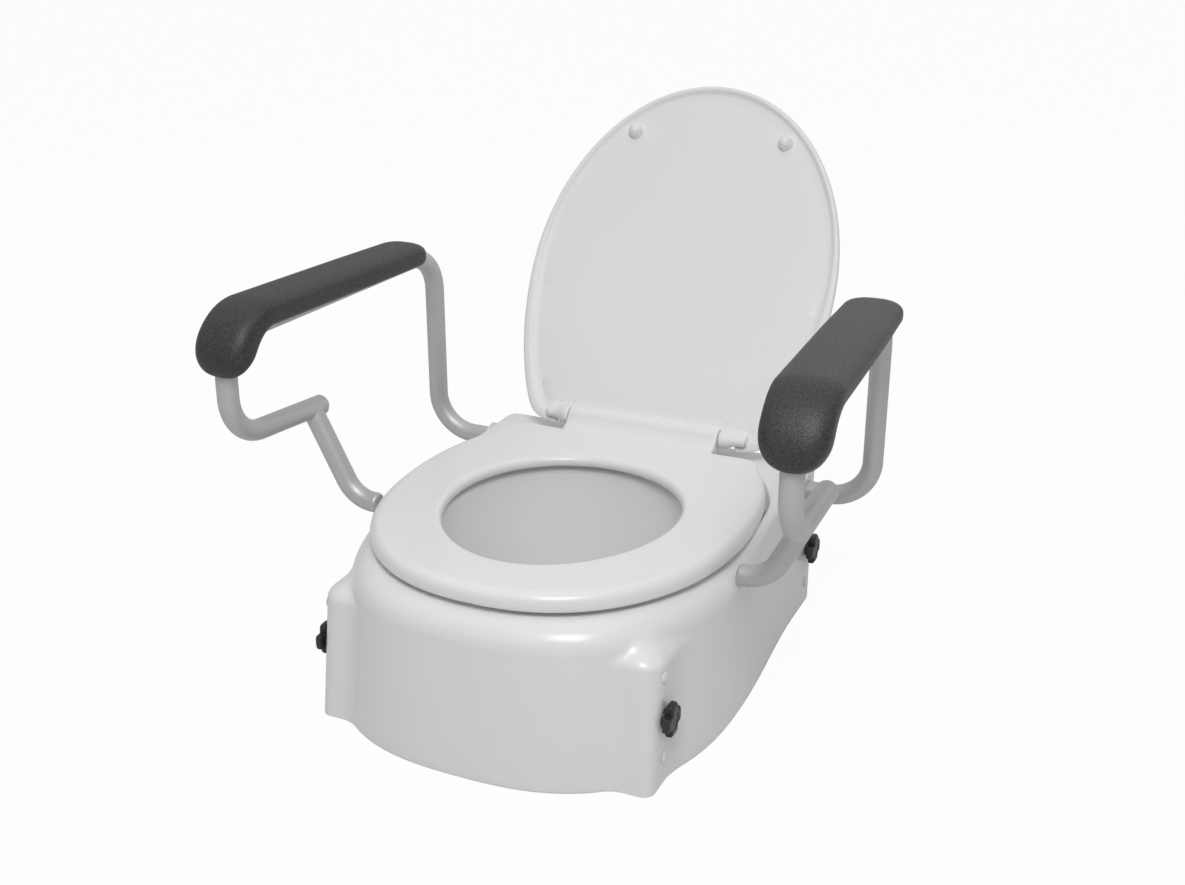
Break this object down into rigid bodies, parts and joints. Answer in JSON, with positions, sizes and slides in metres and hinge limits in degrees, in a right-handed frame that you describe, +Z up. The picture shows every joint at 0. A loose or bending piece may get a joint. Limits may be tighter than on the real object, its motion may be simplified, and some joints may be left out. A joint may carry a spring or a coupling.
{
  "type": "raised toilet seat",
  "caption": "Raised toilet seat: a moulded white body with a hinged seat and lid, swing-up padded arms, and screw clamps that grip the toilet bowl's rim.",
  "frame": {"origin": "under the middle of the overall box, on the plane of the body's lower edge", "axes": "+Z up; -Y to the front, away from the lid; +X to the viewer's right when the front faces the viewer"},
  "size_m": [0.6104, 0.6538, 0.5246],
  "materials": {
    "body_white": "glossy moulded shell",
    "seat_white": "glossy moulded seat and lid",
    "trim_white": "glossy small mouldings",
    "rubber_grey": "soft and matt",
    "tube_silver": "satin silver",
    "pad_foam": "self-skinned foam with a fine grain",
    "knob_black": "matt moulded",
    "steel": "zinc plated"
  },
  "bodies": {
    "base": {"raiser_body": "body_white", "hole_plugs": "trim_white", "hinge_post_left": "trim_white", "hinge_pin_left": "steel", "hinge_bolt_left": "steel", "arm_bush_left": "trim_white", "hinge_post_right": "trim_white", "hinge_pin_right": "steel", "hinge_bolt_right": "steel", "arm_bush_right": "trim_white"},
    "seat": {"seat_ring": "seat_white", "seat_buffers": "rubber_grey"},
    "lid": {"lid": "seat_white", "lid_buffers": "trim_white"},
    "arm_left": {"arm_tube_left": "tube_silver", "arm_strut_left": "tube_silver", "arm_pad_left": "pad_foam", "tube_cap_left": "tube_silver", "strut_plug_left": "rubber_grey", "pivot_plug_left": "knob_black", "pivot_washer_left": "steel", "pivot_bolt_left": "steel"},
    "arm_right": {"arm_tube_right": "tube_silver", "arm_strut_right": "tube_silver", "arm_pad_right": "pad_foam", "tube_cap_right": "tube_silver", "strut_plug_right": "rubber_grey", "pivot_plug_right": "knob_black", "pivot_washer_right": "steel", "pivot_bolt_right": "steel"},
    "clamp_screw_front_left": {"knob_front_left": "knob_black", "stud_front_left": "steel", "retaining_ring_front_left": "steel"},
    "clamp_jaw_front_left": {"bracket_front_left": "trim_white", "bracket_nut_front_left": "steel", "grip_pad_front_left": "rubber_grey"},
    "clamp_screw_front_right": {"knob_front_right": "knob_black", "stud_front_right": "steel", "retaining_ring_front_right": "steel"},
    "clamp_jaw_front_right": {"bracket_front_right": "trim_white", "bracket_nut_front_right": "steel", "grip_pad_front_right": "rubber_grey"},
    "clamp_screw_rear_left": {"knob_rear_left": "knob_black", "stud_rear_left": "steel", "retaining_ring_rear_left": "steel"},
    "clamp_jaw_rear_left": {"bracket_rear_left": "trim_white", "bracket_nut_rear_left": "steel", "grip_pad_rear_left": "rubber_grey"},
    "clamp_screw_rear_right": {"knob_rear_right": "knob_black", "stud_rear_right": "steel", "retaining_ring_rear_right": "steel"},
    "clamp_jaw_rear_right": {"bracket_rear_right": "trim_white", "bracket_nut_rear_right": "steel", "grip_pad_rear_right": "rubber_grey"}
  },
  "joints": [
    {"name": "seat_hinge", "type": "hinge", "parent": "base", "child": "seat", "pos_m": [0, 0.1081, 0.186], "axis": [-1, 0, 0], "range_deg": [0, 98]},
    {"name": "lid_hinge", "type": "hinge", "parent": "base", "child": "lid", "pos_m": [0, 0.1081, 0.186], "axis": [-1, 0, 0], "range_deg": [-122, 0]},
    {"name": "arm_left_pivot", "type": "hinge", "parent": "base", "child": "arm_left", "pos_m": [-0.187, 0.1051, 0.145], "axis": [-1, 0, 0], "range_deg": [0, 90]},
    {"name": "arm_right_pivot", "type": "hinge", "parent": "base", "child": "arm_right", "pos_m": [0.187, 0.1051, 0.145], "axis": [-1, 0, 0], "range_deg": [0, 90]},
    {"name": "clamp_screw_front_left_turn", "type": "hinge", "parent": "base", "child": "clamp_screw_front_left", "pos_m": [-0.1727, -0.2579, 0.068], "axis": [-1, 0, 0], "range_deg": [-1450, 1450]},
    {"name": "clamp_jaw_front_left_slide", "type": "slide", "parent": "base", "child": "clamp_jaw_front_left", "axis": [1, 0, 0], "range_m": [-0.005, 0.005]},
    {"name": "clamp_screw_front_right_turn", "type": "hinge", "parent": "base", "child": "clamp_screw_front_right", "pos_m": [0.1727, -0.2579, 0.068], "axis": [1, 0, 0], "range_deg": [-1450, 1450]},
    {"name": "clamp_jaw_front_right_slide", "type": "slide", "parent": "base", "child": "clamp_jaw_front_right", "axis": [-1, 0, 0], "range_m": [-0.005, 0.005]},
    {"name": "clamp_screw_rear_left_turn", "type": "hinge", "parent": "base", "child": "clamp_screw_rear_left", "pos_m": [-0.1867, 0.1261, 0.068], "axis": [-1, 0, 0], "range_deg": [-1450, 1450]},
    {"name": "clamp_jaw_rear_left_slide", "type": "slide", "parent": "base", "child": "clamp_jaw_rear_left", "axis": [1, 0, 0], "range_m": [-0.005, 0.005]},
    {"name": "clamp_screw_rear_right_turn", "type": "hinge", "parent": "base", "child": "clamp_screw_rear_right", "pos_m": [0.1867, 0.1261, 0.068], "axis": [1, 0, 0], "range_deg": [-1450, 1450]},
    {"name": "clamp_jaw_rear_right_slide", "type": "slide", "parent": "base", "child": "clamp_jaw_rear_right", "axis": [-1, 0, 0], "range_m": [-0.005, 0.005]}
  ],
  "couplings": [
    {"joint": "clamp_screw_front_left_turn", "follows": "clamp_jaw_front_left_slide", "rad_per_m": 5026.6},
    {"joint": "clamp_screw_front_right_turn", "follows": "clamp_jaw_front_right_slide", "rad_per_m": 5026.6},
    {"joint": "clamp_screw_rear_left_turn", "follows": "clamp_jaw_rear_left_slide", "rad_per_m": 5026.6},
    {"joint": "clamp_screw_rear_right_turn", "follows": "clamp_jaw_rear_right_slide", "rad_per_m": 5026.6}
  ]
}
